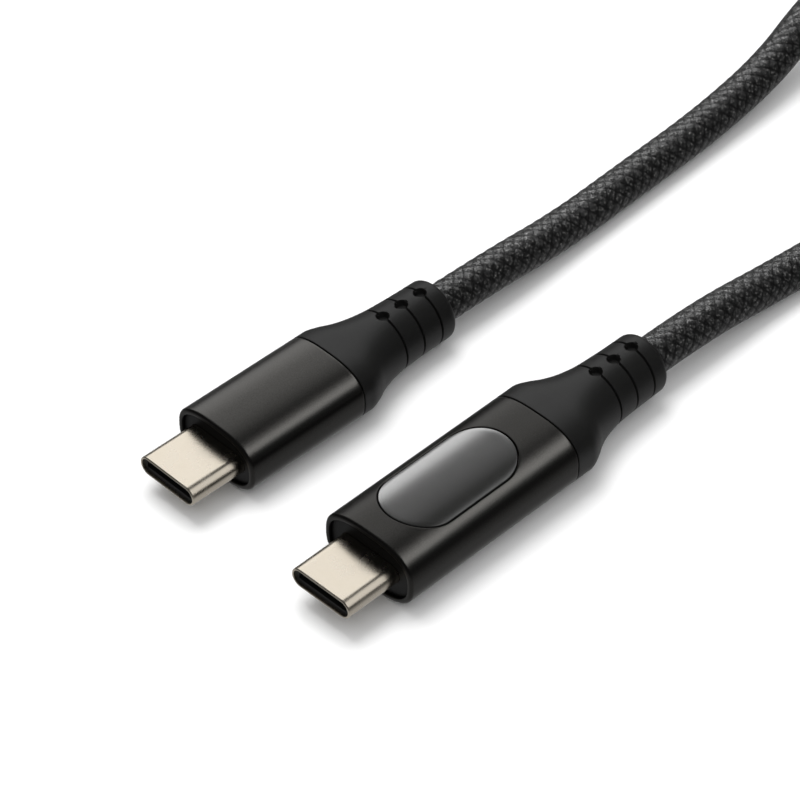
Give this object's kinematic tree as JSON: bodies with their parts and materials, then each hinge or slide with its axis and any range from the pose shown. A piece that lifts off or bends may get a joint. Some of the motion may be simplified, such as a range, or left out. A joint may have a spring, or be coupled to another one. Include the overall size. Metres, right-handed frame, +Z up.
{
  "type": "usb-c cable with power meter",
  "caption": "Braided USB-C cable with a plug at each end; one plug's metal body holds a power meter behind a smoked window, and the spare cable is tied in a hank.",
  "frame": {"origin": "bottom centre of the display plug, whose body lies on the surface", "axes": "+X along the display plug from its nose to its cable, +Y towards the plain plug, +Z up"},
  "size_m": [0.2327, 0.0407, 0.0108],
  "materials": {
    "nickel_shell": "satin nickel plate",
    "black_insulator": "moulded matte",
    "gold_contact": "gold plate",
    "spring_steel": "bright",
    "circuit_board": "solder mask",
    "chip_black": "moulded matte",
    "wire_red": "smooth",
    "wire_black": "smooth",
    "wire_signal": "smooth",
    "inner_mould": "translucent matte",
    "insert_black": "moulded matte",
    "anodised_grey": "satin anodised",
    "smoked_window": "gloss",
    "gasket_black": "matte",
    "display_black": "matte",
    "segment_pale": "diffusing",
    "boot_black": "matte",
    "braid_black": "braided, flecked grey",
    "strap_black": "woven hook and loop"
  },
  "bodies": {
    "cable_body": {"cable_tie": "strap_black", "cord_display_run": "braid_black", "cord_hank": "braid_black", "cord_plain_run": "braid_black", "display_boot": "boot_black", "display_cable_tail": "braid_black", "display_contact_insulator": "black_insulator", "display_contact_stems": "gold_contact", "display_crimp_ring": "spring_steel", "display_digit_module": "display_black", "display_digit_segments": "segment_pale", "display_front_insert": "insert_black", "display_ground_wire": "wire_black", "display_id_chip": "chip_black", "display_inner_mould": "inner_mould", "display_lens": "smoked_window", "display_lens_gasket": "gasket_black", "display_meter_chip": "chip_black", "display_module_pins": "gold_contact", "display_paddle_board": "circuit_board", "display_plug_shell": "nickel_shell", "display_power_wire": "wire_red", "display_shield_plate": "spring_steel", "display_shunt_resistor": "chip_black", "display_signal_wires": "wire_signal", "display_sleeve": "anodised_grey", "display_window_carrier": "display_black", "plain_boot": "boot_black", "plain_cable_tail": "braid_black", "plain_contact_insulator": "black_insulator", "plain_contact_stems": "gold_contact", "plain_crimp_ring": "spring_steel", "plain_front_insert": "insert_black", "plain_ground_wire": "wire_black", "plain_id_chip": "chip_black", "plain_inner_mould": "inner_mould", "plain_paddle_board": "circuit_board", "plain_plug_shell": "nickel_shell", "plain_power_wire": "wire_red", "plain_shield_plate": "spring_steel", "plain_signal_wires": "wire_signal", "plain_sleeve": "anodised_grey"},
    "display_upper_contact_row": {"display_upper_contacts": "gold_contact"},
    "display_lower_contact_row": {"display_lower_contacts": "gold_contact"},
    "display_left_latch_arm": {"display_latch_left": "spring_steel"},
    "display_right_latch_arm": {"display_latch_right": "spring_steel"},
    "plain_upper_contact_row": {"plain_upper_contacts": "gold_contact"},
    "plain_lower_contact_row": {"plain_lower_contacts": "gold_contact"},
    "plain_left_latch_arm": {"plain_latch_left": "spring_steel"},
    "plain_right_latch_arm": {"plain_latch_right": "spring_steel"}
  },
  "joints": [
    {"name": "display_upper_contacts_flex", "type": "hinge", "parent": "cable_body", "child": "display_upper_contact_row", "pos_m": [-0.01765, 0, 0.00414], "axis": [0, 1, 0], "range_deg": [0, 1.8], "stiffness_Nm_per_rad": 0.5},
    {"name": "display_lower_contacts_flex", "type": "hinge", "parent": "cable_body", "child": "display_lower_contact_row", "pos_m": [-0.01765, 0, 0.00342], "axis": [0, 1, 0], "range_deg": [-1.8, 0], "stiffness_Nm_per_rad": 0.5},
    {"name": "display_latch_left_flex", "type": "hinge", "parent": "cable_body", "child": "display_left_latch_arm", "pos_m": [-0.0173, -0.00345, 0.00378], "axis": [0, 0, 1], "range_deg": [0, 2.3], "stiffness_Nm_per_rad": 0.2},
    {"name": "display_latch_right_flex", "type": "hinge", "parent": "cable_body", "child": "display_right_latch_arm", "pos_m": [-0.0173, 0.00345, 0.00378], "axis": [0, 0, 1], "range_deg": [-2.3, 0], "stiffness_Nm_per_rad": 0.2},
    {"name": "plain_upper_contacts_flex", "type": "hinge", "parent": "cable_body", "child": "plain_upper_contact_row", "pos_m": [-0.01735, 0.02276, 0.00384], "axis": [0.0218, 0.9998, 0], "range_deg": [0, 1.8], "stiffness_Nm_per_rad": 0.5},
    {"name": "plain_lower_contacts_flex", "type": "hinge", "parent": "cable_body", "child": "plain_lower_contact_row", "pos_m": [-0.01735, 0.02276, 0.00312], "axis": [0.0218, 0.9998, 0], "range_deg": [-1.8, 0], "stiffness_Nm_per_rad": 0.5},
    {"name": "plain_latch_left_flex", "type": "hinge", "parent": "cable_body", "child": "plain_left_latch_arm", "pos_m": [-0.01708, 0.0193, 0.00348], "axis": [0, 0, 1], "range_deg": [0, 2.3], "stiffness_Nm_per_rad": 0.2},
    {"name": "plain_latch_right_flex", "type": "hinge", "parent": "cable_body", "child": "plain_right_latch_arm", "pos_m": [-0.01693, 0.0262, 0.00348], "axis": [0, 0, 1], "range_deg": [-2.3, 0], "stiffness_Nm_per_rad": 0.2}
  ]
}
